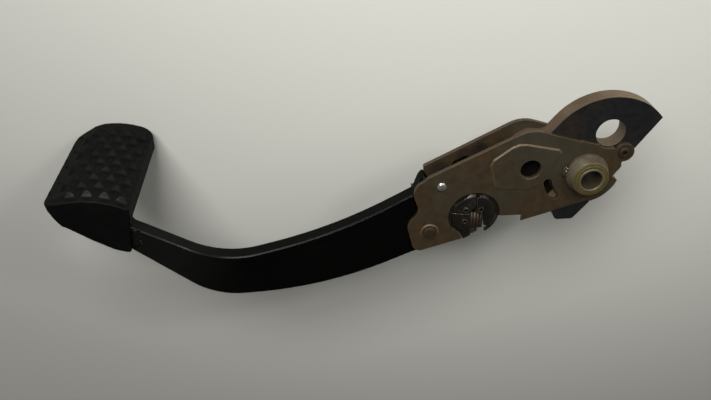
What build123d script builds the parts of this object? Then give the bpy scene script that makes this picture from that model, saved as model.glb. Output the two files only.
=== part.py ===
"""A hanging brake pedal, lying on its side: bent bar arm, rubber pad, two pressed side plates
round a thick lever, a bushed pivot tube and the spring clip of the push rod.

Millimetres. The origin is on the pivot's axis, at the outer face of the near side plate.
+Z runs along the pivot, +Y is the driver's side that the tread faces, and the pad is at -X."""
from build123d import *
from math import cos, radians, sin
import os

os.makedirs("parts", exist_ok=True)

# Sheet and bar, from the near plate's outer face downwards
plate_thick = 2.5
bar_thick = 10.0
near_inside = -plate_thick
far_inside = near_inside - bar_thick
far_outside = far_inside - plate_thick
bar_middle = near_inside - bar_thick / 2
bar_edge = 0.8
fit_gap = 0.05
seat_gap = 0.3

# Pivot
sleeve_bore_r = 6.1
sleeve_wall = 1.5
sleeve_proud = 0.5
sleeve_chamfer = 0.4
bush_wall = 1.5
bush_flange_r = 10.3
bush_flange_thick = 1.5
bush_step_in = 1.2
bush_step_high = 0.5
bush_length = 13.0
tube_base_r = 12.5
tube_rim_wall = 1.3
tube_stand = 8.0
tube_taper_high = 5.5
hub_eye_r = 21.0

# Places of the fasteners and holes, seen along the pivot
upper_rivet_at = (-85.0, -5.8)
lower_rivet_at = (-90.5, -37.8)
lobe_rivet_at = (20.9, 12.1)
lever_eye_at = (11.4, 24.0)
sight_hole_at = (-33.4, 3.5)
clip_at = (-64.0, -27.0)

# Side plates, the corners of their outline with the radius of each
near_plate_corner = (-92.6, 0.2)
near_crown = (-36.0, 29.2)
far_plate_corner = (-94.2, 1.0)
far_crown = (-38.2, 30.6)
crown_r = 19.0
plate_neck = (10.8, 15.2)
heel_notch = (16.6, -3.6)
heel_corner = (20.0, -6.3)
plate_end = (-102.6, -8.0)
plate_end_r = 9.0
plate_waist = (-97.0, -23.4)
plate_waist_r = 7.0
lower_lobe_left = (-104.6, -32.0)
lower_lobe_left_r = 8.0
lower_lobe_tip = (-99.2, -52.6)
lower_lobe_tip_r = 5.0
lobe_r = 5.8
tail_corner = (-34.6, -33.1)
tail_corner_r = 1.2
hub_low = (5.0, -20.4)
hub_low_r = 6.0
neck_corner_r = 4.0
window_sill = 14.7
window_sill_r = 40.0
sharp_r = 1.0
bent_edge_wide = 2.2
bent_edge_deep = 1.1
notch_high = 5.0
notch_wide = 20.0
clip_window_r = 15.7
sight_hole_r = 6.15
kidney_r = 22.8
kidney_wide = 5.2
kidney_from = 196.0
kidney_sweep = 27.0
panel_lift = 0.7
panel_slope = 40.0
panel_corners = ((-66.0, 8.6), (-34.0, 21.0), (-14.2, 15.4), (-28.5, -10.5), (-56.0, -9.4))
panel_radii = (3.5, 8.0, 2.5, 6.0, 4.0)
boss_r = 5.6
boss_lift = 0.7

# Rivets, with the share of the head that is flat and the share of its height that is rim
rivet_crown = 0.7
rivet_rim = 0.5
upper_shank_r = 1.9
upper_head_r = 2.8
upper_head_high = 1.7
lower_shank_r = 2.6
lower_head_r = 3.9
lower_head_high = 0.9
lobe_shank_r = 2.4
lobe_hole_r = 1.4
lobe_head_r = 3.4
lobe_head_high = 0.8

# Lever
lever_arc_at = (11.5, 7.5)
lever_arc_r = 38.8
lever_eye_r = 8.6
eye_relief = 0.4
lever_heel = (18.2, -5.0)
lever_toe = (41.5, 31.0)
lever_toe_r = 3.0
lever_shoulder = (-19.3, 31.2)
lever_dip = (-25.2, 23.6)
lever_wing_top = (-35.6, 24.2)
lever_wing_end = (-44.0, 18.6)
lever_wing_foot = (-41.0, 12.0)
lever_armpit = (-24.0, 13.0)
lever_armpit_r = 6.0
lever_bend_r = 5.0
lever_wing_r = 3.0
lug_left = (-17.4, -24.0)
lug_foot_left = (-12.8, -34.2)
lug_foot_right = (-2.2, -34.2)
lug_right = (7.0, -22.0)
lug_root_r = 3.0
lug_foot_r = 2.6

# Arm: its corners in order round the outline, each with its radius
arm_toe_top = (-279.0, -19.7)
arm_valley = (-216.2, -55.8)
arm_valley_r = 55.0
arm_rise = (-148.0, -38.7)
arm_rise_r = 290.0
arm_shoulder_foot = (-100.6, -12.0)
arm_shoulder = (-97.6, -3.0)
arm_shoulder_tip = (-95.2, 0.2)
arm_head_dip = (-91.0, -6.5)
arm_head_back = (-80.0, -2.5)
arm_head_rise = (-76.0, 4.6)
arm_head_top = (-62.0, 11.6)
arm_head_inner = (-73.0, -8.0)
arm_head_foot = (-77.0, -44.4)
arm_neck_low = (-100.0, -54.2)
arm_belly = (-156.0, -79.3)
arm_belly_r = 230.0
arm_knee = (-223.3, -81.3)
arm_knee_r = 45.0
arm_tail_low = (-296.0, -19.6)
arm_tail_top = (-296.0, -15.0)
arm_corner_r = 3.0
arm_dip_r = 2.0
arm_inner_r = 6.0
arm_foot_r = 4.0

# Pad plate under the rubber, its upper face from left to right
pad_sheet = 2.5
pad_left = (-307.6, -10.0)
pad_right = (-268.4, -15.8)
pad_wide = 91.0
left_flange_long = 9.0
right_flange_low = -22.0
near_bend_r = 3.5
side_flange_left = (-301.0, -22.0)
side_flange_mid = (-288.9, -31.4)
side_flange_low = (-276.4, -39.2)
side_flange_foot = (-267.8, -41.2)
side_flange_r = 20.0
side_flange_left_r = 4.0
side_flange_foot_r = 1.5

# Rubber pad
tread_left = (-311.6, -7.4)
tread_crest = (-293.0, -3.2)
tread_right = (-264.8, -10.4)
rubber_wall = 3.0
rubber_left_foot = (-303.6, -20.6)
rubber_right_low = -19.5
skirt_over = 0.4
pad_far_left_r = 18.0
pad_far_right_r = 8.0
pad_near_left_r = 9.0
stud_pitch_z = 9.5
stud_gap = 0.4
stud_high = 2.9
stud_top = 1.0
stud_sunk = 0.5
stud_rows = 9
stud_columns = 5
first_stud_z = -4.6
tread_margin = 0.8
tread_edge_r = 0.5

# Push rod socket and its clip
socket_r = 7.4
ball_r = 5.4
neck_bore_r = 3.6
neck_wall = 1.1
neck_long = 15.0
finger_slits = 6
finger_slit_wide = 1.0
finger_root = 1.0
clip_sheet = 0.9
clip_r = 15.2
clip_rise = 3.8
clip_flat_r = 7.0
clip_shoulder_r = 12.0
clip_shoulder_drop = 1.6
clip_leaves = (
    ((-63.0, -15.0), (-56.5, -13.0), (-49.6, -19.0), (-47.0, -33.0), (-52.6, -35.4), (-58.8, -33.6),
     (-59.4, -26.0), (-63.0, -24.0)),
    ((-79.5, -25.2), (-66.8, -25.2), (-65.4, -38.6), (-73.2, -42.0), (-79.0, -33.0)),
    ((-76.4, -24.2), (-76.0, -20.4), (-66.2, -12.4), (-63.8, -13.4), (-63.8, -20.2), (-67.0, -22.4),
     (-67.0, -24.2)),
)
clip_base_wide = 2.4
rod_way_at = 284.0
rod_way_wide = 8.6
tab_corners = ((-72.6, -39.2), (-69.0, -45.1), (-63.6, -41.8), (-66.2, -36.5))
eyelets = ((-69.8, -30.4), (-69.6, -22.4))
eyelet_r = 1.7
eyelet_hole_r = 1.0
eyelet_high = 0.4
pin_at = (-60.8, -22.0)
pin_r = 1.7
pin_hole_r = 1.0
pin_proud = 1.0

# Welds
tack_high = 3.0
tack_out = 2.2
tack_belly = 0.62
tack_sweep = 26.0
near_tacks = (172.0, 290.0)
far_tacks = (60.0, 235.0)
bead_leg = 2.4
bead_inset = 1.0
side_bead_high = 1.6
side_bead_wide = 6.0
side_bead_from = 2.0
side_bead_long = 11.0


def save(part, name):
    part.label = name
    export_step(part, f"parts/{name}.step")


def on_circle(centre, radius, degrees):
    return (centre[0] + radius * cos(radians(degrees)), centre[1] + radius * sin(radians(degrees)))


def upright(place, z=0.0):
    """A plane through a place on the pedal, with its own x along X and its own y along Z."""
    return Plane(origin=(place[0], place[1], z), x_dir=(1, 0, 0), z_dir=(0, -1, 0))


def axis_at(place):
    return Axis((place[0], place[1], 0), (0, 0, 1))


# Side plates: two pressings of one outline, the far one a little taller along its upper edge
def heel_cut():
    """The corner cut out of the hub's disc beside the straight edge of the lever."""
    along = Vector(*lever_toe) - Vector(*lever_heel)
    out = Vector(*heel_corner) - Vector(*heel_notch)
    notch = Vector(*heel_notch)
    with BuildSketch(mode=Mode.PRIVATE) as cut:
        with BuildLine():
            Polyline(
                notch, notch + along * 2, notch + along * 2 + out * 20, notch + out * 20, close=True
            )
        make_face()
    return cut.sketch


def plate_outline(corner, crown):
    with BuildSketch(mode=Mode.PRIVATE) as outline:
        with BuildLine():
            FilletPolyline(
                corner,
                crown,
                plate_neck,
                lobe_rivet_at,
                lever_heel,
                hub_low,
                tail_corner,
                (clip_at[0], clip_at[1] - window_sill),
                lower_lobe_tip,
                lower_lobe_left,
                plate_waist,
                plate_end,
                radius=[
                    sharp_r, crown_r, neck_corner_r, sharp_r, sharp_r, hub_low_r, tail_corner_r,
                    window_sill_r, lower_lobe_tip_r, lower_lobe_left_r, plate_waist_r,
                    plate_end_r,
                ],
                close=True,
            )
        make_face()
        Circle(hub_eye_r)
        add(heel_cut(), mode=Mode.SUBTRACT)
        with Locations(lobe_rivet_at):
            Circle(lobe_r)
        with Locations(lever_eye_at):
            Circle(lever_eye_r + eye_relief, mode=Mode.SUBTRACT)
    return outline.sketch


def rivet_holes(mode):
    """The holes of the three rivets and of the pivot tube, cut out of a sketch or added to it."""
    Circle(tube_base_r + fit_gap, mode=mode)
    for place, shank in (
        (upper_rivet_at, upper_shank_r),
        (lower_rivet_at, lower_shank_r),
        (lobe_rivet_at, lobe_shank_r),
    ):
        with Locations(place):
            Circle(shank + fit_gap, mode=mode)


with BuildLine() as kidney_line:
    CenterArc((0, 0), kidney_r, kidney_from, kidney_sweep)

bent_run = Vector(*hub_low) - Vector(*tail_corner)
bent_edge = Plane(origin=tail_corner, x_dir=(-bent_run.Y, bent_run.X, 0), z_dir=bent_run)

with BuildPart() as near_side_plate:
    with BuildSketch(Plane.XY.offset(near_inside)):
        add(plate_outline(near_plate_corner, near_crown))
        with Locations((tail_corner[0], tail_corner[1] + notch_high)):
            Rectangle(notch_wide, 3 * notch_high, align=(Align.MAX, Align.MAX), mode=Mode.SUBTRACT)
        with Locations(clip_at):
            Circle(clip_window_r, mode=Mode.SUBTRACT)
        with BuildLine():
            Polyline(*tab_corners, close=True)
        offset(make_face(mode=Mode.PRIVATE), amount=seat_gap, mode=Mode.SUBTRACT)
    extrude(amount=plate_thick)
    with BuildSketch(Plane.XY):
        with BuildLine():
            FilletPolyline(*panel_corners, radius=panel_radii, close=True)
        make_face()
    extrude(amount=panel_lift, taper=panel_slope)
    with BuildSketch(Plane.XY):
        with Locations(lower_rivet_at):
            Circle(boss_r)
    extrude(amount=boss_lift, taper=panel_slope)
    with BuildSketch(bent_edge):
        with BuildLine():
            Polyline(
                (bent_edge_wide, 0),
                (0, -bent_edge_deep),
                (-seat_gap, -bent_edge_deep),
                (-seat_gap, seat_gap),
                (bent_edge_wide, seat_gap),
                close=True,
            )
        make_face()
    extrude(amount=bent_run.length, mode=Mode.SUBTRACT)
    with BuildSketch(Plane.XY.offset(near_inside)):
        with Locations(sight_hole_at):
            Circle(sight_hole_r)
        SlotArc(kidney_line.edge(), kidney_wide)
        rivet_holes(Mode.ADD)
    extrude(amount=2 * plate_thick, mode=Mode.SUBTRACT)
save(near_side_plate.part, "near_side_plate")

with BuildPart() as far_side_plate:
    with BuildSketch(Plane.XY.offset(far_outside)):
        add(plate_outline(far_plate_corner, far_crown))
        rivet_holes(Mode.SUBTRACT)
    extrude(amount=plate_thick)
save(far_side_plate.part, "far_side_plate")

# Lever: the thick plate between the side plates, with the eye for the linkage
with BuildPart() as lever_plate:
    with BuildSketch(Plane.XY.offset(far_inside)) as lever_face:
        with BuildLine():
            Line(lever_heel, lever_toe)
            ThreePointArc(lever_toe, on_circle(lever_arc_at, lever_arc_r, 88), lever_shoulder)
            FilletPolyline(
                lever_shoulder, lever_dip, lever_wing_top, lever_wing_end, lever_wing_foot,
                lever_armpit, (0, 0), lever_heel,
                radius=[
                    lever_bend_r, lever_bend_r, lever_wing_r, lever_wing_r, lever_armpit_r, sharp_r,
                ],
            )
        make_face()
        fillet(lever_face.vertices().sort_by_distance(lever_toe)[0], lever_toe_r)
        Circle(hub_eye_r)
        add(heel_cut(), mode=Mode.SUBTRACT)
        with BuildLine():
            FilletPolyline(
                (0, 0), lug_left, lug_foot_left, lug_foot_right, lug_right,
                radius=[sharp_r, lug_root_r, lug_foot_r, lug_foot_r, lug_root_r],
                close=True,
            )
        make_face()
        Circle(tube_base_r + fit_gap, mode=Mode.SUBTRACT)
        with Locations(lever_eye_at):
            Circle(lever_eye_r, mode=Mode.SUBTRACT)
        with Locations(lobe_rivet_at):
            Circle(lobe_shank_r + fit_gap, mode=Mode.SUBTRACT)
    extrude(amount=bar_thick)
save(lever_plate.part, "lever_plate")

# Arm: one bent bar on edge, from between the side plates to under the pad
with BuildPart() as pedal_arm:
    with BuildSketch(Plane.XY.offset(far_inside)):
        with BuildLine():
            FilletPolyline(
                arm_toe_top, arm_valley, arm_rise, arm_shoulder_foot, arm_shoulder, arm_shoulder_tip,
                arm_head_dip, arm_head_back, arm_head_rise, arm_head_top, arm_head_inner,
                arm_head_foot, arm_neck_low, arm_belly, arm_knee, arm_tail_low, arm_tail_top,
                radius=[
                    sharp_r, arm_valley_r, arm_rise_r, arm_corner_r, arm_corner_r, sharp_r,
                    arm_dip_r, arm_dip_r, arm_corner_r, arm_corner_r, arm_inner_r,
                    arm_foot_r, arm_dip_r, arm_belly_r, arm_knee_r, arm_dip_r, sharp_r,
                ],
                close=True,
            )
        make_face()
    extrude(amount=bar_thick)
    rims = pedal_arm.edges().filter_by(Plane.XY)
    long_rims = rims.filter_by_position(Axis.X, arm_toe_top[0], arm_shoulder_foot[0])
    chamfer(long_rims, bar_edge)
    with BuildSketch(Plane.XY.offset(far_inside)):
        with Locations(upper_rivet_at):
            Circle(upper_shank_r + fit_gap)
        with Locations(lower_rivet_at):
            Circle(lower_shank_r + fit_gap)
    extrude(amount=bar_thick, mode=Mode.SUBTRACT)
save(pedal_arm.part, "pedal_arm")

# Pivot: a tube through plates and lever, a flanged bush in each end, a loose sleeve inside
sleeve_r = sleeve_bore_r + sleeve_wall
bush_bore_r = sleeve_r + fit_gap
bush_r = bush_bore_r + bush_wall
tube_bore_r = bush_r + fit_gap
tube_end = tube_stand
bush_face = tube_end + bush_flange_thick
sleeve_end = bush_face + sleeve_proud
middle = Plane.XY.offset(bar_middle)

with BuildPart() as pivot_tube:
    with BuildSketch(Plane.XZ):
        with BuildLine():
            Polyline(
                (tube_bore_r + tube_rim_wall, tube_end),
                (tube_bore_r, tube_end),
                (tube_bore_r, bar_middle),
                (tube_base_r, bar_middle),
                (tube_base_r, tube_end - tube_taper_high),
                close=True,
            )
        make_face()
    revolve(axis=Axis.Z)
    mirror(about=middle)
save(pivot_tube.part, "pivot_tube")


def bush_part():
    """The bush in the near end of the tube, with a stepped flange."""
    with BuildPart() as bush:
        with BuildSketch(Plane.XZ):
            with BuildLine():
                Polyline(
                    (bush_bore_r, bush_face),
                    (bush_flange_r - bush_step_in, bush_face),
                    (bush_flange_r - bush_step_in, bush_face - bush_step_high),
                    (bush_flange_r, bush_face - bush_step_high),
                    (bush_flange_r, tube_end),
                    (bush_r, tube_end),
                    (bush_r, tube_end - bush_length),
                    (bush_bore_r, tube_end - bush_length),
                    close=True,
                )
            make_face()
        revolve(axis=Axis.Z)
    return bush.part


with BuildPart() as near_pivot_bush:
    add(bush_part())
save(near_pivot_bush.part, "near_pivot_bush")

with BuildPart() as far_pivot_bush:
    add(mirror(bush_part(), about=middle, mode=Mode.PRIVATE))
save(far_pivot_bush.part, "far_pivot_bush")

with BuildPart() as pivot_sleeve:
    with BuildSketch(middle):
        Circle(sleeve_r)
        Circle(sleeve_bore_r, mode=Mode.SUBTRACT)
    extrude(amount=sleeve_end - bar_middle, both=True)
    chamfer(pivot_sleeve.edges().filter_by(GeomType.CIRCLE), sleeve_chamfer)
save(pivot_sleeve.part, "pivot_sleeve")


# Rivets: shank through the stack, a low domed head at each end, hollow where a hole is given
def rivet(place, shank, head, high, hole, top):
    with BuildPart() as pin:
        with BuildSketch(upright(place)):
            with BuildLine():
                Polyline(
                    (0, bar_middle),
                    (0, top + high),
                    (head * rivet_crown, top + high),
                    (head, top + high * rivet_rim),
                    (head, top),
                    (shank, top),
                    (shank, bar_middle),
                    close=True,
                )
            make_face()
        revolve(axis=axis_at(place))
        mirror(about=middle)
        if hole:
            with BuildSketch(middle):
                with Locations(place):
                    Circle(hole)
            extrude(amount=2 * bar_thick, both=True, mode=Mode.SUBTRACT)
    return pin.part


with BuildPart() as upper_rivet:
    add(rivet(upper_rivet_at, upper_shank_r, upper_head_r, upper_head_high, 0.0, 0.0))
save(upper_rivet.part, "upper_rivet")

with BuildPart() as lower_rivet:
    add(rivet(lower_rivet_at, lower_shank_r, lower_head_r, lower_head_high, 0.0, boss_lift))
save(lower_rivet.part, "lower_rivet")

with BuildPart() as lobe_rivet:
    add(rivet(lobe_rivet_at, lobe_shank_r, lobe_head_r, lobe_head_high, lobe_hole_r, 0.0))
save(lobe_rivet.part, "lobe_rivet")


# Tube welds: short beads in the corner between tube and plate
def tube_tacks(angles):
    with BuildPart() as tacks:
        for angle in angles:
            start = Plane.XZ.rotated((0, 0, angle - tack_sweep / 2))
            with BuildSketch(start):
                with BuildLine():
                    Polyline(
                        (tube_base_r, tack_high),
                        (tube_base_r, 0),
                        (tube_base_r + tack_out, 0),
                        (tube_base_r + tack_out * tack_belly, tack_high * tack_belly),
                        close=True,
                    )
                make_face()
            revolve(axis=Axis.Z, revolution_arc=tack_sweep)
    return tacks.part


with BuildPart() as near_tube_welds:
    add(tube_tacks(near_tacks))
save(near_tube_welds.part, "near_tube_welds")

with BuildPart() as far_tube_welds:
    add(mirror(tube_tacks(far_tacks), about=middle, mode=Mode.PRIVATE))
save(far_tube_welds.part, "far_tube_welds")

# Pad plate: a shallow channel across the arm's end, with a side flange down the arm's near face
def pad_plan(inset):
    """The pad seen from the driver's side, drawn inset from the rubber's outer edge."""
    with BuildSketch(Plane.XZ, mode=Mode.PRIVATE) as plan:
        with BuildLine():
            FilletPolyline(
                (tread_left[0] + inset, rubber_wall - inset),
                (tread_right[0] - inset, rubber_wall - inset),
                (tread_right[0] - inset, inset - pad_wide - rubber_wall),
                (tread_left[0] + inset, inset - pad_wide - rubber_wall),
                radius=[
                    pad_near_left_r - inset, sharp_r, pad_far_right_r - inset, pad_far_left_r - inset,
                ],
                close=True,
            )
        make_face()
    return extrude(plan.sketch, amount=4 * pad_wide, both=True, mode=Mode.PRIVATE)


skirt_foot = (rubber_left_foot[0] + rubber_wall, rubber_left_foot[1])
pad_slope = (pad_right[1] - pad_left[1]) / (pad_right[0] - pad_left[0])
skirt_run = Vector(*skirt_foot) - Vector(*pad_left)
left_flange_foot = Vector(*pad_left) + skirt_run.normalized() * left_flange_long

with BuildPart() as pad_plate:
    with BuildSketch(Plane.XY):
        with BuildLine():
            FilletPolyline(
                left_flange_foot,
                pad_left,
                pad_right,
                (pad_right[0], right_flange_low),
                radius=near_bend_r,
            )
            offset(amount=pad_sheet, side=Side.RIGHT)
        make_face()
    extrude(amount=-pad_wide)
    with BuildSketch(Plane.XY):
        with BuildLine():
            FilletPolyline(
                (pad_left[0] + near_bend_r, pad_left[1] + pad_slope * near_bend_r),
                side_flange_left,
                side_flange_mid,
                side_flange_low,
                side_flange_foot,
                pad_right,
                radius=[
                    near_bend_r, side_flange_left_r, side_flange_r, side_flange_r,
                    side_flange_foot_r, near_bend_r,
                ],
                close=True,
            )
        make_face()
    extrude(amount=-plate_thick)
    add(pad_plan(rubber_wall), mode=Mode.INTERSECT)
save(pad_plate.part, "pad_plate")

# Rubber pad: a crowned tread over the plate, skirts at left and right, lips at near and far end.
# The crown is an arc cut into flats, two to each column of pyramids.
with BuildLine() as crown_line:
    ThreePointArc(tread_left, tread_crest, tread_right)
crown_arc = crown_line.edge()
crown_flats = 2 * stud_columns
crown_points = [crown_arc @ (flat / crown_flats) for flat in range(crown_flats + 1)]
stud_pitch_x = crown_arc.length / stud_columns

with BuildPart() as pad_cavity:
    with BuildSketch(Plane.XY):
        with BuildLine():
            FilletPolyline(
                pad_left,
                pad_right,
                (pad_right[0], 4 * rubber_right_low),
                (skirt_foot[0], 4 * rubber_right_low),
                skirt_foot,
                radius=[near_bend_r, near_bend_r, sharp_r, sharp_r, sharp_r],
                close=True,
            )
        make_face()
    extrude(amount=-pad_wide)
    add(pad_plan(rubber_wall), mode=Mode.INTERSECT)

with BuildPart() as pedal_pad:
    with BuildSketch(Plane.XY.offset(rubber_wall)):
        with BuildLine():
            Polyline(
                *crown_points, (tread_right[0], rubber_right_low), rubber_left_foot, close=True
            )
        make_face()
    extrude(amount=-pad_wide - 2 * rubber_wall)
    with BuildSketch(Plane.XY):
        with BuildLine():
            FilletPolyline(
                tread_left,
                rubber_left_foot,
                side_flange_mid,
                side_flange_low,
                (side_flange_foot[0], side_flange_foot[1] - skirt_over),
                tread_right,
                radius=[
                    tread_edge_r, side_flange_left_r, side_flange_r, side_flange_r,
                    side_flange_foot_r, tread_edge_r,
                ],
                close=True,
            )
        make_face()
    extrude(amount=rubber_wall)
    add(pad_plan(0.0), mode=Mode.INTERSECT)
    add(pad_cavity.part, mode=Mode.SUBTRACT)


def stud(place, outward, z):
    """One pyramid of the tread, standing on the crown at place."""
    seat = Plane(origin=(place.X, place.Y, z), x_dir=(0, 0, 1), z_dir=(outward.X, outward.Y, 0))
    with BuildPart(mode=Mode.PRIVATE) as pyramid:
        with BuildSketch(seat.offset(-stud_sunk)):
            Rectangle(stud_pitch_z - stud_gap, stud_pitch_x - stud_gap)
        with BuildSketch(seat.offset(stud_high)):
            Rectangle(stud_top, stud_top)
        loft()
    return pyramid.part


with BuildPart() as tread_studs:
    for row in range(stud_rows):
        half_step = row % 2 / 2
        for column in range(stud_columns + row % 2):
            along = (column + 0.5 - half_step) / stud_columns
            place = crown_arc @ along
            add(stud(place, place - crown_arc.arc_center, first_stud_z - row * stud_pitch_z))
    add(pad_plan(tread_margin), mode=Mode.INTERSECT)
with pedal_pad:
    add(tread_studs.part)
save(pedal_pad.part, "pedal_pad")

# Welds that hold the pad plate on the arm
def arm_top_height(x):
    """Height of the arm's straight upper edge near the pad."""
    fall = (arm_valley[1] - arm_toe_top[1]) / (arm_valley[0] - arm_toe_top[0])
    return arm_toe_top[1] + fall * (x - arm_toe_top[0])


with BuildPart() as side_weld:
    with BuildSketch(Plane.XZ.offset(-side_flange_foot[1] - side_bead_from)):
        with BuildLine():
            Polyline(
                (side_flange_foot[0], near_inside),
                (side_flange_foot[0], near_inside + side_bead_high),
                (side_flange_foot[0] + side_bead_wide / 2, near_inside + side_bead_high),
                (side_flange_foot[0] + side_bead_wide, near_inside),
                close=True,
            )
        make_face()
    extrude(amount=-side_bead_long)
save(side_weld.part, "side_weld")

toe_bead_right = pad_right[0] + bead_leg
toe_bead_left = pad_right[0] - pad_sheet - bead_leg

with BuildPart() as toe_weld:
    with BuildSketch(Plane.XY.offset(near_inside - bead_inset)):
        with BuildLine():
            Polyline(
                (pad_right[0] - pad_sheet, right_flange_low),
                (pad_right[0], right_flange_low),
                (toe_bead_right, arm_top_height(toe_bead_right)),
                (toe_bead_left, arm_top_height(toe_bead_left)),
                close=True,
            )
        make_face()
    extrude(amount=2 * bead_inset - bar_thick)
save(toe_weld.part, "toe_weld")

# Push rod socket: a collet between the plates, open towards the servo side
with BuildPart() as rod_socket:
    with BuildSketch(Plane.XY.offset(far_inside)):
        with Locations(clip_at):
            Circle(socket_r)
    extrude(amount=bar_thick)
    rod_way = Plane(origin=(clip_at[0], clip_at[1], bar_middle), x_dir=(1, 0, 0), z_dir=(0, -1, 0))
    with BuildSketch(rod_way):
        Circle(neck_bore_r + neck_wall)
    extrude(amount=neck_long)
    with Locations((clip_at[0], clip_at[1], bar_middle)):
        Sphere(ball_r, mode=Mode.SUBTRACT)
    with BuildSketch(rod_way):
        Circle(neck_bore_r)
    extrude(amount=2 * neck_long, mode=Mode.SUBTRACT)
    with BuildSketch(rod_way.offset(socket_r + finger_root)):
        with PolarLocations(0, finger_slits // 2):
            Rectangle(4 * neck_bore_r, finger_slit_wide)
    extrude(amount=neck_long, mode=Mode.SUBTRACT)
save(rod_socket.part, "rod_socket")

# Spring clip over the socket: a dished sheet parted into three leaves round the socket's fingers
clip_top = near_inside + clip_rise

with BuildPart() as clip_plan:
    with BuildSketch(Plane.XY.offset(near_inside)):
        for leaf in clip_leaves:
            with BuildLine():
                Polyline(*leaf, close=True)
            make_face()
    extrude(amount=2 * clip_rise)

with BuildPart() as rod_clip:
    with BuildSketch(upright(clip_at)):
        with BuildLine():
            Polyline(
                (0, clip_top - clip_sheet),
                (clip_flat_r, clip_top - clip_sheet),
                (clip_shoulder_r, clip_top - clip_sheet - clip_shoulder_drop),
                (clip_r - clip_sheet, near_inside),
                (clip_r, near_inside),
                (clip_shoulder_r + clip_sheet, clip_top - clip_shoulder_drop),
                (clip_flat_r, clip_top),
                (0, clip_top),
                close=True,
            )
        make_face()
    revolve(axis=axis_at(clip_at))
    add(clip_plan.part, mode=Mode.INTERSECT)
    with BuildSketch(Plane.XY.offset(near_inside)):
        with Locations(clip_at):
            Circle(clip_r)
            Circle(clip_r - clip_base_wide, mode=Mode.SUBTRACT)
    extrude(amount=clip_sheet)
    with BuildSketch(Plane.XY.offset(near_inside)):
        with BuildLine():
            Polyline(*tab_corners, close=True)
        make_face()
    extrude(amount=clip_sheet)
    with BuildSketch(Plane.XY.offset(clip_top - clip_sheet - clip_shoulder_drop)):
        with Locations(*eyelets):
            Circle(eyelet_r)
    extrude(amount=clip_sheet + clip_shoulder_drop + eyelet_high)
    with BuildSketch(Plane.XY.offset(near_inside)):
        with Locations(*eyelets):
            Circle(eyelet_hole_r)
        with Locations(pin_at):
            Circle(pin_r + fit_gap)
    extrude(amount=3 * clip_rise, mode=Mode.SUBTRACT)
    with BuildSketch(Plane.XY.offset(near_inside)):
        with Locations(Location((*clip_at, 0), (0, 0, rod_way_at))):
            Rectangle(2 * clip_r, rod_way_wide, align=(Align.MIN, Align.CENTER))
    extrude(amount=3 * clip_rise, mode=Mode.SUBTRACT)
save(rod_clip.part, "rod_clip")

with BuildPart() as clip_pin:
    with BuildSketch(Plane.XY.offset(near_inside)):
        with Locations(pin_at):
            Circle(pin_r)
            Circle(pin_hole_r, mode=Mode.SUBTRACT)
    extrude(amount=clip_rise + pin_proud)
save(clip_pin.part, "clip_pin")
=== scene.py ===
import bpy
import bmesh
from math import cos, pi, radians, sin
from mathutils import Euler, Matrix, Vector, noise


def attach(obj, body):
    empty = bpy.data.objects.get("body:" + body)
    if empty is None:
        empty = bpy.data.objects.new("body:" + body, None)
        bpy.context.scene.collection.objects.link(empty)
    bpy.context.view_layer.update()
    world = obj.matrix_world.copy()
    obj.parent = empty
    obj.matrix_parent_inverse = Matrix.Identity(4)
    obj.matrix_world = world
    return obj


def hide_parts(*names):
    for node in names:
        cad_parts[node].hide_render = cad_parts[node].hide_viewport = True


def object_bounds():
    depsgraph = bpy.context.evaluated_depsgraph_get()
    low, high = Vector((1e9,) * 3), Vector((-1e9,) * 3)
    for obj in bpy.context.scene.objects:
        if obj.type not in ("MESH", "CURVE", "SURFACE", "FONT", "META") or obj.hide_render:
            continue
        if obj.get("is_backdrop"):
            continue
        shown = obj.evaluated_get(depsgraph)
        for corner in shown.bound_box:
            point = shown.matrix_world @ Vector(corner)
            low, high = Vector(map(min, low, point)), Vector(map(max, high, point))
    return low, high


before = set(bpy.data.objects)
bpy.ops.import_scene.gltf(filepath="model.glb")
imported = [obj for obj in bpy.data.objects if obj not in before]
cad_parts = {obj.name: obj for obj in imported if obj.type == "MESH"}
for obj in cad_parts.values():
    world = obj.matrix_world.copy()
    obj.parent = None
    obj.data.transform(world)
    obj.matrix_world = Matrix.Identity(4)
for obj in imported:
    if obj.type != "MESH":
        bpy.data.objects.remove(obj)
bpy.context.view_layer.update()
mm = 0.001
print("frame loaded:", len(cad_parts), "nodes")


# Camera, lamps and floor. The camera looks down on the plates from the tread's side.
stageSettings = {
    "cameraAt": (-163.33, 216.11, 358.0),   # mm
    "cameraTurn": (-32.497, -4.459, 0.0),   # degrees
    "lens": 36.96,
    "floorSize": 16.0,                      # metres
    "floorGap": 0.0002,                     # metres below the lowest point
    "floorLitAt": (0.1, 0.35, 0.0),         # metres. The floor is palest here, greyer away from it
    "roomLight": 0.09,                      # above, where the flat faces mirror it
    "horizonLight": 0.56,                   # a pale band round the room
}

lamps = {
    # name: place in mm, point it faces in mm, size in mm, watts
    "windowLamp": ((-410, 780, 770), (-160, -20, -60), (600, 450), 16.0),
    "fillLamp": ((520, 600, 620), (-60, 0, -20), (700, 500), 2.8),
    "edgeLamp": ((140, 374, 400), (-230, -50, -5), (90, 60), 0.9),    # lights the arm's upper edge
}


def linearColour(code):
    parts = [int(code[i:i + 2], 16) / 255 for i in (1, 3, 5)]
    return [c / 12.92 if c <= 0.04045 else ((c + 0.055) / 1.055) ** 2.4 for c in parts] + [1.0]


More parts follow.
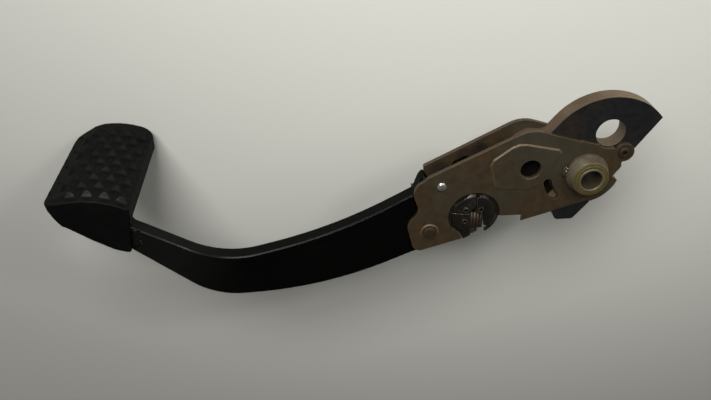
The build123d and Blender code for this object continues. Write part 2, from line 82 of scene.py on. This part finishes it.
# Adds a shader node. An input is a socket's name, or i and its number, and takes a node, a socket,
# a colour code or a plain value.
def addNode(tree, kind, settings=None, stops=None, **inputs):
    node = tree.nodes.new("ShaderNode" + kind)
    for name, value in (settings or {}).items():
        setattr(node, name, value)
    for index, (place, code) in enumerate(stops or []):
        ramp = node.color_ramp.elements
        if index >= len(ramp):
            ramp.new(place)
        ramp[index].position = place
        ramp[index].color = linearColour(code)
    for name, value in inputs.items():
        key = int(name[1:]) if name[1:].isdigit() else name.replace("_", " ")
        socket = node.inputs[key]
        if isinstance(value, bpy.types.Node):
            value = next(out for out in value.outputs if out.enabled)
        if isinstance(value, bpy.types.NodeSocket):
            tree.links.new(value, socket)
        else:
            socket.default_value = linearColour(value) if isinstance(value, str) else value
    return node


def newMaterial(name):
    material = bpy.data.materials.new(name)
    material.use_nodes = True
    material.node_tree.nodes.clear()
    return material, material.node_tree


def placeCamera(setup):
    data = bpy.data.cameras.new("photoCamera")
    data.lens = setup["lens"]
    data.sensor_width = 36.0
    data.clip_start = 0.01
    camera = bpy.data.objects.new("photoCamera", data)
    camera.location = Vector(setup["cameraAt"]) * mm
    camera.rotation_euler = Euler([radians(a) for a in setup["cameraTurn"]])
    bpy.context.collection.objects.link(camera)
    bpy.context.scene.camera = camera


def placeLamps(table):
    for name, (place, target, size, watts) in table.items():
        data = bpy.data.lights.new(name, "AREA")
        data.shape = "RECTANGLE"
        data.size, data.size_y = size[0] * mm, size[1] * mm
        data.energy = watts
        lamp = bpy.data.objects.new(name, data)
        lamp.location = Vector(place) * mm
        aim = Vector(target) * mm - lamp.location
        lamp.rotation_euler = aim.to_track_quat("-Z", "Y").to_euler()
        bpy.context.collection.objects.link(lamp)


# The room is dim above, which the flat faces mirror, with a pale band at the horizon
def setWorld(setup):
    world = bpy.data.worlds.new("studioWorld")
    bpy.context.scene.world = world
    world.use_nodes = True
    tree = world.node_tree
    tree.nodes.clear()
    toward = addNode(tree, "SeparateXYZ", Vector=addNode(tree, "TexCoord").outputs["Generated"])
    lit = addNode(tree, "MapRange", {"interpolation_type": "SMOOTHSTEP"}, i0=toward.outputs[2],
                  i1=0.04, i2=0.16, i3=setup["horizonLight"], i4=setup["roomLight"])
    room = addNode(tree, "Background", Color="#f1f1ee", Strength=lit)
    addNode(tree, "OutputWorld", Surface=room)


def layFloor(setup):
    bm = bmesh.new()
    bmesh.ops.create_grid(bm, x_segments=1, y_segments=1, size=setup["floorSize"] / 2)
    bmesh.ops.translate(bm, vec=(0, 0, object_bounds()[0][2] - setup["floorGap"]), verts=bm.verts)
    mesh = bpy.data.meshes.new("floor")
    bm.to_mesh(mesh)
    bm.free()
    floor = bpy.data.objects.new("floor", mesh)
    bpy.context.collection.objects.link(floor)
    material, tree = newMaterial("paleLaminate")
    spread = addNode(tree, "VectorMath", {"operation": "DISTANCE"},
                     i0=addNode(tree, "TexCoord").outputs["Object"], i1=setup["floorLitAt"])
    greying = addNode(tree, "MapRange", {"interpolation_type": "SMOOTHSTEP"},
                      i0=spread.outputs["Value"], i1=0.3, i2=0.8)
    colour = addNode(tree, "Mix", {"data_type": "RGBA"}, i0=greying, i6="#c8c8bf", i7="#9c9a95")
    shader = addNode(tree, "BsdfPrincipled", Base_Color=colour, Roughness=0.5)
    addNode(tree, "OutputMaterial", Surface=shader)
    mesh.materials.append(material)
    floor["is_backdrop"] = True


placeCamera(stageSettings)
placeLamps(lamps)
setWorld(stageSettings)
layFloor(stageSettings)
bpy.context.scene.view_settings.view_transform = "Standard"
print("camera, lamps and floor placed")


# Materials. Every pattern reads Object coordinates, in metres, so a scale is waves per metre.
def perMm(size):
    return 1000.0 / size


def objectPlace(tree):
    return addNode(tree, "TexCoord").outputs["Object"]


# How much of a stain with ragged edges lies here: one at its middle, none beyond its size, in mm
def stain(tree, middle, size, raggedness):
    place = objectPlace(tree)
    away = addNode(tree, "VectorMath", {"operation": "DISTANCE"}, i0=place,
                   i1=[v * mm for v in middle])
    share = addNode(tree, "MapRange", {"interpolation_type": "SMOOTHSTEP"}, i0=away.outputs["Value"],
                    i1=0.25 * size * mm, i2=size * mm, i3=1.0, i4=0.0)
    rag = addNode(tree, "TexNoise", Vector=place, Scale=perMm(size * 0.45), Detail=5.0, Roughness=0.65)
    worn = addNode(tree, "MapRange", i0=rag.outputs["Fac"], i1=0.35, i2=0.65,
                   i3=1.0 - 2 * raggedness, i4=1.0)
    return addNode(tree, "Math", {"operation": "MULTIPLY"}, i0=share, i1=worn)


# A rounded edge for the light, and how near this point is to one
def roundedEdges(tree, radius):
    soft = addNode(tree, "Bevel", {"samples": 6}, Radius=radius * mm)
    flat = addNode(tree, "NewGeometry").outputs["True Normal"]
    turned = addNode(tree, "VectorMath", {"operation": "DOT_PRODUCT"}, i0=soft, i1=flat)
    edge = addNode(tree, "MapRange", i0=turned.outputs["Value"], i1=0.998, i2=0.9)
    return soft, edge


# Dip-painted steel: deep black that shines only along the edges, with a slow orange peel, a paler
# film towards the pad that is dust and a painted reflection of the room, and one chip down to the
# yellow undercoat
def makeArmPaint():
    material, tree = newMaterial("blackDipPaint")
    place = objectPlace(tree)
    normal, edge = roundedEdges(tree, 0.6)
    film = addNode(tree, "TexNoise", Vector=place, Scale=perMm(34.0), Detail=5.0, Roughness=0.6)
    colour = addNode(tree, "ValToRGB", stops=[(0.4, "#030303"), (0.75, "#060605")], Fac=film)
    # paler towards the pad: dust together with a painted reflection of the room
    dustAndReflection = stain(tree, (-270, -45, -2.5), 75.0, 0.2)
    colour = addNode(tree, "Mix", {"data_type": "RGBA"}, i0=dustAndReflection, i6=colour, i7="#121310")
    chip = stain(tree, (-94.0, -12.6, -2.5), 1.6, 0.1)
    colour = addNode(tree, "Mix", {"data_type": "RGBA"}, i0=chip, i6=colour, i7="#9a9a52")
    smear = addNode(tree, "TexNoise", Vector=place, Scale=perMm(11.0), Detail=4.0, Roughness=0.6)
    rough = addNode(tree, "MapRange", i0=smear, i1=0.3, i2=0.7, i3=0.2, i4=0.3)
    peel = addNode(tree, "TexNoise", Vector=place, Scale=perMm(2.4), Detail=2.0)
    bump = addNode(tree, "Bump", Height=peel, Strength=0.2, Distance=0.05 * mm, Normal=normal)
    shine = addNode(tree, "MapRange", i0=edge, i1=0.35, i2=0.85, i3=0.12, i4=1.0)
    glossy = addNode(tree, "BsdfPrincipled", Base_Color=colour, Roughness=rough, Normal=bump)
    deep = addNode(tree, "BsdfPrincipled", Base_Color=colour, Roughness=rough, Normal=bump,
                   Specular_IOR_Level=0.0)
    shader = addNode(tree, "MixShader", i0=shine, i1=deep, i2=glossy)
    addNode(tree, "OutputMaterial", Surface=shader)
    return material


plateStains = {
    # where rust has come through: middle in mm, size in mm, how ragged
    "lowerLobe": ((-88, -40, 0), 34, 0.3),
    "tail": ((-26, -26, 0), 30, 0.3),
    "underTube": ((-2, -17, 0), 24, 0.3),
    "besideTube": ((13, 6, 0), 22, 0.35),
    "leftEnd": ((-97, -12, 0), 16, 0.3),
    "farSheet": ((-66, 8, -14), 40, 0.3),
}

lobeStain = {"lobeHole": ((21, 12, 1), 6.5, 0.2)}    # grease round the small lobe's rivet

paintedShadeSpots = {
    # painted shade on the far sheet, behind the holes and along the deep gap over the arm
    "behindSight": ((-33, -4, -12.5), 24, 0.1),
    "behindSlot": ((-20, -18, -12.5), 20, 0.1),
    "gapMiddle": ((-61, 11.5, -12.5), 8, 0.3),
    "gapLeft": ((-70, 7.5, -12.5), 7, 0.35),
    "gapEnd": ((-84, -1, -12.5), 8, 0.3),
}


# Zinc-chromated pressed sheet, aged: the olive has gone brown, rust lies low and at the edges,
# the edges are painted pale for wear and a highlight, the pressed slopes are paler, grime and
# painted shade darken every corner, and grease and painted shade are black
def makePlateSteel(name, greaseAndShade):
    material, tree = newMaterial(name)
    place = objectPlace(tree)
    normal, edge = roundedEdges(tree, 0.35)
    slow = addNode(tree, "TexNoise", Vector=place, Scale=perMm(30.0), Detail=5.0, Roughness=0.6)
    fine = addNode(tree, "TexNoise", Vector=place, Scale=perMm(5.0), Detail=6.0, Roughness=0.65)
    speck = addNode(tree, "TexNoise", Vector=place, Scale=perMm(1.2), Detail=3.0, Roughness=0.6)
    olive = addNode(tree, "ValToRGB", stops=[(0.35, "#2b2719"), (0.65, "#363023")], Fac=slow)
    rust = addNode(tree, "ValToRGB", stops=[(0.35, "#2f210f"), (0.7, "#3d2a15")], Fac=fine)
    share = 0.0
    for middle, size, ragged in plateStains.values():
        share = addNode(tree, "Math", {"operation": "MAXIMUM"}, i0=stain(tree, middle, size, ragged),
                        i1=share)
    colour = addNode(tree, "Mix", {"data_type": "RGBA"}, i0=share, i6=olive, i7=rust)
    facing = addNode(tree, "SeparateXYZ", Vector=addNode(tree, "TexCoord").outputs["Normal"])
    slope = addNode(tree, "Math", {"operation": "COMPARE"}, i0=facing.outputs[2], i1=0.64, i2=0.12)
    pressed = addNode(tree, "Math", {"operation": "MULTIPLY"}, i0=slope, i1=0.8)
    colour = addNode(tree, "Mix", {"data_type": "RGBA"}, i0=pressed, i6=colour, i7="#54452c")
    pitted = addNode(tree, "MapRange", i0=speck, i1=0.62, i2=0.72, i3=0.0, i4=0.3)
    colour = addNode(tree, "Mix", {"data_type": "RGBA"}, i0=pitted, i6=colour, i7="#1c150d")
    # painted shade: occlusion darkens corners and the gaps between parts, together with grime
    corner = addNode(tree, "AmbientOcclusion", {"samples": 8}, Distance=2.5 * mm)
    grimeAndShade = addNode(tree, "MapRange", i0=corner.outputs["AO"], i1=0.85, i2=0.45, i3=0.0, i4=0.8)
    colour = addNode(tree, "Mix", {"data_type": "RGBA"}, i0=grimeAndShade, i6=colour, i7="#362412")
    # edges painted pale: wear together with a painted highlight along them
    wornAndHighlit = addNode(tree, "MapRange", i0=fine, i1=0.3, i2=0.6, i3=0.3, i4=0.9)
    wornAndHighlit = addNode(tree, "Math", {"operation": "MULTIPLY"}, i0=edge, i1=wornAndHighlit)
    colour = addNode(tree, "Mix", {"data_type": "RGBA"}, i0=wornAndHighlit, i6=colour, i7="#74562f")
    for middle, size, ragged in greaseAndShade.values():
        # black: grease round the lobe's rivet, and painted shade on the far sheet
        greaseAndShadeShare = stain(tree, middle, size, ragged)
        colour = addNode(tree, "Mix", {"data_type": "RGBA"}, i0=greaseAndShadeShare, i6=colour, i7="#050403")
    rough = addNode(tree, "MapRange", i0=fine, i1=0.3, i2=0.7, i3=0.42, i4=0.62)
    bump = addNode(tree, "Bump", Height=speck, Strength=0.3, Distance=0.08 * mm, Normal=normal)
    shader = addNode(tree, "BsdfPrincipled", Base_Color=colour, Roughness=rough, Normal=bump,
                     Metallic=0.25)
    addNode(tree, "OutputMaterial", Surface=shader)
    return material


# Heavy blanked plate: black phosphate on the faces, sheared edges gone tan, and brown at the left
def makeLeverSteel():
    material, tree = newMaterial("phosphatedPlate")
    place = objectPlace(tree)
    normal, edge = roundedEdges(tree, 0.5)
    facing = addNode(tree, "SeparateXYZ", Vector=addNode(tree, "TexCoord").outputs["Normal"])
    upright = addNode(tree, "Math", {"operation": "ABSOLUTE"}, i0=facing.outputs[2])
    side = addNode(tree, "MapRange", i0=upright, i1=0.75, i2=0.35)
    slow = addNode(tree, "TexNoise", Vector=place, Scale=perMm(24.0), Detail=4.0, Roughness=0.6)
    fine = addNode(tree, "TexNoise", Vector=place, Scale=perMm(3.0), Detail=5.0, Roughness=0.65)
    face = addNode(tree, "ValToRGB", stops=[(0.42, "#090a0b"), (0.72, "#16140f")], Fac=slow)
    browned = stain(tree, (-14, 28, -3), 15, 0.3)
    face = addNode(tree, "Mix", {"data_type": "RGBA"}, i0=browned, i6=face, i7="#1d150e")
    cut = addNode(tree, "ValToRGB", stops=[(0.3, "#54422d"), (0.7, "#776751")], Fac=fine)
    rusted = stain(tree, (-22, 34, -7), 56, 0.2)
    cut = addNode(tree, "Mix", {"data_type": "RGBA"}, i0=rusted, i6=cut, i7="#40301f")
    # darker on the eye's bore wall
    eyeWallDarker = stain(tree, (11.4, 24, -7.5), 15, 0.1)
    cut = addNode(tree, "Mix", {"data_type": "RGBA"}, i0=eyeWallDarker, i6=cut, i7="#332a1c")
    colour = addNode(tree, "Mix", {"data_type": "RGBA"}, i0=side, i6=face, i7=cut)
    # edges painted paler: wear together with a painted highlight
    wornAndHighlit = addNode(tree, "Math", {"operation": "MULTIPLY"}, i0=edge, i1=0.4)
    colour = addNode(tree, "Mix", {"data_type": "RGBA"}, i0=wornAndHighlit, i6=colour, i7="#3a2f22")
    rough = addNode(tree, "MapRange", i0=fine, i1=0.3, i2=0.7, i3=0.45, i4=0.65)
    bump = addNode(tree, "Bump", Height=fine, Strength=0.3, Distance=0.08 * mm, Normal=normal)
    shader = addNode(tree, "BsdfPrincipled", Base_Color=colour, Roughness=rough, Normal=bump,
                     Specular_IOR_Level=0.3)
    addNode(tree, "OutputMaterial", Surface=shader)
    return material


metalFinishes = {
    # slot: name, base, stain, edge colour for wear and a painted highlight, stain size in mm,
    # roughness, metallic, edge radius in mm, how far grime and painted shade reach out of a corner in
    # mm
    "tube_steel": ("drawnTubeSteel", "#5f5848", "#453c2b", "#7d7460", 9.0, 0.5, 0.3, 0.8, 2.0),
    "weld_metal": ("weldMetal", "#4f493c", "#2c2417", "#a8a294", 2.5, 0.3, 0.7, 0.4, 2.0),
    "bush_plastic": ("agedNylon", "#423a1c", "#2f2811", "#9a8c48", 5.0, 0.45, 0.0, 0.3, 2.0),
    "sleeve_steel": ("turnedSteel", "#4e4530", "#352d1c", "#a89f88", 6.0, 0.5, 0.3, 0.3, 12.0),
    "rivet_steel": ("zincRivet", "#a9aaa4", "#5b5648", "#d8d8d0", 3.0, 0.3, 0.8, 0.4, 2.0),
    # rust brown, and painted dark for the shade inside the hollow lobe rivet
    "rusty_rivet": ("rustyShadedRivet", "#261d11", "#2d2011", "#403019", 3.0, 0.5, 0.3, 0.3, 2.0),
    "socket_steel": ("greasySteel", "#3a2c1c", "#1c150e", "#3f3120", 3.0, 0.5, 0.3, 0.3, 2.0),
    "clip_steel": ("bluedSpringSteel", "#1c1a16", "#2a241a", "#7d7a6e", 5.0, 0.3, 0.6, 0.3, 2.0),
}


# Bare or plated small parts: stained in patches, with edges painted bright for wear and a highlight,
# and grime with painted shade in the corners
def makeMetal(name, base, stained, worn, stainSize, roughness, metallic, edgeRadius, grimeAndShadeReach):
    material, tree = newMaterial(name)
    place = objectPlace(tree)
    normal, edge = roundedEdges(tree, edgeRadius)
    patch = addNode(tree, "TexNoise", Vector=place, Scale=perMm(stainSize), Detail=5.0, Roughness=0.65)
    colour = addNode(tree, "ValToRGB", stops=[(0.42, base), (0.66, stained)], Fac=patch)
    # edges painted bright: wear together with a painted highlight
    wornAndHighlit = addNode(tree, "Math", {"operation": "MULTIPLY"}, i0=edge, i1=0.6)
    colour = addNode(tree, "Mix", {"data_type": "RGBA"}, i0=wornAndHighlit, i6=colour, i7=worn)
    # painted shade: occlusion darkens corners and hollows, together with grime
    corner = addNode(tree, "AmbientOcclusion", {"samples": 8}, Distance=grimeAndShadeReach * mm)
    grimeAndShade = addNode(tree, "MapRange", i0=corner.outputs["AO"], i1=0.8, i2=0.4, i3=0.0, i4=0.85)
    colour = addNode(tree, "Mix", {"data_type": "RGBA"}, i0=grimeAndShade, i6=colour, i7="#1a130b")
    rough = addNode(tree, "MapRange", i0=patch, i1=0.3, i2=0.7, i3=roughness - 0.08,
                    i4=roughness + 0.12)
    pits = addNode(tree, "TexNoise", Vector=place, Scale=perMm(1.2), Detail=3.0)
    bump = addNode(tree, "Bump", Height=pits, Strength=0.25, Distance=0.05 * mm, Normal=normal)
    shader = addNode(tree, "BsdfPrincipled", Base_Color=colour, Roughness=rough, Normal=bump,
                     Metallic=metallic)
    addNode(tree, "OutputMaterial", Surface=shader)
    return material


# Moulded rubber: near black, with a slow bloom, a fine matt grain and little shine
def makeRubber():
    material, tree = newMaterial("mouldedRubber")
    place = objectPlace(tree)
    bloom = addNode(tree, "TexNoise", Vector=place, Scale=perMm(30.0), Detail=4.0, Roughness=0.6)
    colour = addNode(tree, "ValToRGB", stops=[(0.4, "#040404"), (0.7, "#080807")], Fac=bloom)
    smear = addNode(tree, "TexNoise", Vector=place, Scale=perMm(8.0), Detail=4.0, Roughness=0.6)
    rough = addNode(tree, "MapRange", i0=smear, i1=0.3, i2=0.7, i3=0.4, i4=0.52)
    grit = addNode(tree, "TexNoise", Vector=place, Scale=perMm(0.7), Detail=2.0)
    bump = addNode(tree, "Bump", Height=grit, Strength=0.2, Distance=0.04 * mm)
    glossy = addNode(tree, "BsdfPrincipled", Base_Color=colour, Roughness=rough, Normal=bump)
    dull = addNode(tree, "BsdfPrincipled", Base_Color=colour, Roughness=rough, Normal=bump,
                   Specular_IOR_Level=0.0)
    shader = addNode(tree, "MixShader", i0=0.2, i1=dull, i2=glossy)
    addNode(tree, "OutputMaterial", Surface=shader)
    return material


slotMaterials = {
    "arm_paint": makeArmPaint(),
    "plate_steel": makePlateSteel("agedChromateSteel", lobeStain),
    "lever_steel": makeLeverSteel(),
    "pad_rubber": makeRubber(),
}
for slotName, finish in metalFinishes.items():
    slotMaterials[slotName] = makeMetal(*finish)

for name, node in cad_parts.items():
    for place in node.material_slots:
        slotName = place.material.name.split(".")[0] if place.material else ""
        if slotName in slotMaterials:
            place.material = slotMaterials[slotName]
        else:
            print("no material for", name, slotName)
print("materials assigned")


# Pieces made over the plain solids, all of them on the pedal itself
def copyOfNode(nodeName):
    bm = bmesh.new()
    bm.from_mesh(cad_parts[nodeName].data)
    bmesh.ops.remove_doubles(bm, verts=bm.verts, dist=0.00001)
    return bm


def newObject(name, bm):
    mesh = bpy.data.meshes.new(name)
    bm.to_mesh(mesh)
    bm.free()
    mesh.shade_smooth()
    made = bpy.data.objects.new(name, mesh)
    bpy.context.collection.objects.link(made)
    return made


def addPiece(name, bm, slotName, replaced=(), material=None):
    piece = newObject(name, bm)
    piece.data.materials.append(material or slotMaterials[slotName])
    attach(piece, "pedal")
    if replaced:
        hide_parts(*replaced)
    return piece


creaseAngle = 38    # degrees, past which an edge stays sharp


# Turns the modifiers' result into the piece's own mesh
def settle(piece):
    graph = bpy.context.evaluated_depsgraph_get()
    shaped = bpy.data.meshes.new_from_object(piece.evaluated_get(graph))
    piece.modifiers.clear()
    piece.data = shaped
    shaped.shade_smooth()
    shaped.set_sharp_from_angle(angle=radians(creaseAngle))
    print("made", piece.name, len(shaped.polygons), "faces")


padSettings = {
    # mm. The tread dies out in a soft lip along the near and left edges
    "voxel": 0.45,
    "smoothing": 0.5,
    "rounds": 1,
    "crownMiddle": -293.0,
    "crown": (-3.2, 0.0346, -0.01028),    # height, slope and curve over the pad's width
    "lipDrop": 1.0,                       # below the crown
    "lipReach": 4.0,                      # what lies farther from the lip is left alone
    "nearRim": (-3.0, -0.5),              # in z, from the last stud to the edge
    "leftRim": (-301.5, -306.5),          # in x
    "rimRounds": 30,
    "fuller": 1.7,                        # how far the left edge bulges out
    "fullerOver": (-300.0, -309.0),
}


# How far a value has come from start to end, kept from 0 to 1
def partWay(value, start, end):
    return min(1.0, max(0.0, (value - start) / (end - start)))


def makePad(setup):
    pad = addPiece("moulded_pad", copyOfNode("pedal_pad"), "pad_rubber", ["pedal_pad"])
    remesh = pad.modifiers.new("even", "REMESH")
    remesh.mode = "VOXEL"
    remesh.voxel_size = setup["voxel"] * mm
    remesh.use_smooth_shade = True
    soften = pad.modifiers.new("soften", "SMOOTH")
    soften.factor = setup["smoothing"]
    soften.iterations = setup["rounds"]
    settle(pad)
    rim = pad.vertex_groups.new(name="rim")
    upward = [vertex.normal.y for vertex in pad.data.vertices]
    for vertex, up in zip(pad.data.vertices, upward):
        at = vertex.co / mm
        near = partWay(at.z, *setup["nearRim"])
        left = partWay(at.x, *setup["leftRim"])
        across = at.x - setup["crownMiddle"]
        height, slope, curve = setup["crown"]
        lip = height + slope * across + curve * across ** 2 - setup["lipDrop"]
        if up > 0.2 and abs(at.y - lip) < setup["lipReach"]:
            vertex.co.y += (lip - at.y) * mm * max(near, left)
        vertex.co.x -= setup["fuller"] * mm * partWay(at.x, *setup["fullerOver"])
        if max(near, left) > 0:
            rim.add([vertex.index], max(near, left), "REPLACE")
    soften = pad.modifiers.new("softRim", "SMOOTH")
    soften.vertex_group = "rim"
    soften.factor = setup["smoothing"]
    soften.iterations = setup["rimRounds"]
    settle(pad)
    pad.vertex_groups.clear()


weldSettings = {
    # mm
    "voxel": 0.22,
    "lump": 0.55,
    "lumpSize": 1.3,
}

weldSlots = {
    "near_tube_welds": "weld_metal",
    "far_tube_welds": "weld_metal",
    "toe_weld": "arm_paint",    # painted over with the arm
    "side_weld": "arm_paint",
}


def makeWeld(nodeName, slotName, setup):
    weld = addPiece("rough_" + nodeName, copyOfNode(nodeName), slotName, [nodeName])
    remesh = weld.modifiers.new("even", "REMESH")
    remesh.mode = "VOXEL"
    remesh.voxel_size = setup["voxel"] * mm
    remesh.use_smooth_shade = True
    settle(weld)
    for vertex in weld.data.vertices:
        push = noise.noise(vertex.co * perMm(setup["lumpSize"])) * setup["lump"] * mm
        vertex.co += vertex.normal * push


plateSettings = {
    # mm. What stands above the straight edge from the crown to the neck is cut off
    "overEdge": ((-22, 25.3), (5.3, 17.6), (11.5, 15.5), (13.5, 22), (-22, 40)),
    "nearCut": (-4.0, 2.0),       # a cut through the near sheet, in z
    "panel": ((-57.5, 7.0), (-56.2, 10.6), (-46.0, 18.6), (-42.0, 20.2), (-37.5, 20.2),
              (-18.0, 16.0), (-16.3, 13.8), (-26.8, -6.2), (-29.4, -9.0), (-33.0, -10.4),
              (-50.5, -9.6), (-53.4, -7.4)),
    "panelHeights": (-1.0, 0.8),  # from inside the sheet to 0.8 proud of it
    "panelSlope": 0.75,
    "sightHole": ((-33.4, 3.5), 6.3),
    "farCut": (-18.0, -11.0),
    "farEnd": ((-120, 30), (-94, 2.2), (-93.5, -12), (-120, -12)),
    "eyeSide": ((11.4, 21.5), 9.6),
}


def ring(middle, radius, count=64):
    turns = [2 * pi * i / count for i in range(count)]
    return [(middle[0] + radius * cos(turn), middle[1] + radius * sin(turn)) for turn in turns]


# A solid between two heights over an outline, with a hole and a sloped upper edge where asked
def slab(points, low, high, slope=0.0, hole=()):
    bm = bmesh.new()
    edges = []
    for loop in filter(None, (points, hole)):
        ends = [bm.verts.new((x * mm, y * mm, low * mm)) for x, y in loop]
        edges += [bm.edges.new((ends[i - 1], ends[i])) for i in range(len(ends))]
    bmesh.ops.triangle_fill(bm, use_beauty=True, edges=edges)
    raised = bmesh.ops.extrude_face_region(bm, geom=bm.faces[:])["geom"]
    upper = {part for part in raised if isinstance(part, bmesh.types.BMVert)}
    bmesh.ops.translate(bm, vec=(0, 0, (high - low) * mm), verts=list(upper))
    bmesh.ops.recalc_face_normals(bm, faces=bm.faces)
    if slope:
        holeEnds = {(round(x, 3), round(y, 3)) for x, y in hole}
        rim = []
        for edge in bm.edges:
            first = edge.verts[0].co / mm
            isUpperRim = upper.issuperset(edge.verts) and edge.calc_face_angle(0) > 1    # radians
            if isUpperRim and (round(first.x, 3), round(first.y, 3)) not in holeEnds:
                rim.append(edge)
        bmesh.ops.bevel(bm, geom=rim, offset=slope * mm, segments=1, profile=0.5, affect="EDGES",
                        material=-1)
    return bm


# Cuts solids from a piece or joins them to it, by Boolean modifiers
def carve(piece, steps):
    tools = []
    for operation, bm in steps:
        tool = newObject("tool", bm)
        modifier = piece.modifiers.new("carve", "BOOLEAN")
        modifier.operation, modifier.solver, modifier.object = operation, "EXACT", tool
        tools.append(tool)
    settle(piece)
    for face in piece.data.polygons:
        face.use_smooth = abs(face.normal.z) < 0.3    # only the rims are round
    for tool in tools:
        bpy.data.objects.remove(tool)


def makePlates(setup):
    near = addPiece("pressed_near_plate", copyOfNode("near_side_plate"), "plate_steel",
                    ["near_side_plate"])
    panel = slab(setup["panel"], *setup["panelHeights"], setup["panelSlope"],
                 ring(*setup["sightHole"]))
    carve(near, [("DIFFERENCE", slab(setup["overEdge"], *setup["nearCut"])), ("UNION", panel)])
    # the far sheet carries painted shade behind the holes and in the gap
    far = addPiece("trimmed_far_plate", copyOfNode("far_side_plate"), "plate_steel",
                   ["far_side_plate"], material=makePlateSteel("shadedChromateSteel", paintedShadeSpots))
    carve(far, [("DIFFERENCE", slab(setup["farEnd"], *setup["farCut"])),
                ("DIFFERENCE", slab(ring(*setup["eyeSide"]), *setup["farCut"]))])


fingerSettings = {
    # mm. The socket's small fingers, seen through the gap between the clip's leaves
    "across": (-65.0, -63.0, -61.0, -59.0),
    "span": (-37.0, -26.0),
    "height": -2.4,
    "rootRadius": 1.15,
    "tipRadius": 0.92,
}


def makeFingers(setup):
    bm = bmesh.new()
    low, high = setup["span"]
    for x in setup["across"]:
        place = Matrix.Translation(Vector((x, (low + high) / 2, setup["height"])) * mm)
        bmesh.ops.create_cone(bm, cap_ends=True, segments=16, radius1=setup["rootRadius"] * mm,
                              radius2=setup["tipRadius"] * mm, depth=(high - low) * mm,
                              matrix=place @ Matrix.Rotation(radians(-90), 4, "X"))
    addPiece("socket_fingers", bm, "socket_steel")


makePlates(plateSettings)
makeFingers(fingerSettings)
print("plates and fingers made")
makePad(padSettings)
print("pad made")
for nodeName, slotName in weldSlots.items():
    makeWeld(nodeName, slotName, weldSettings)
print("welds made")
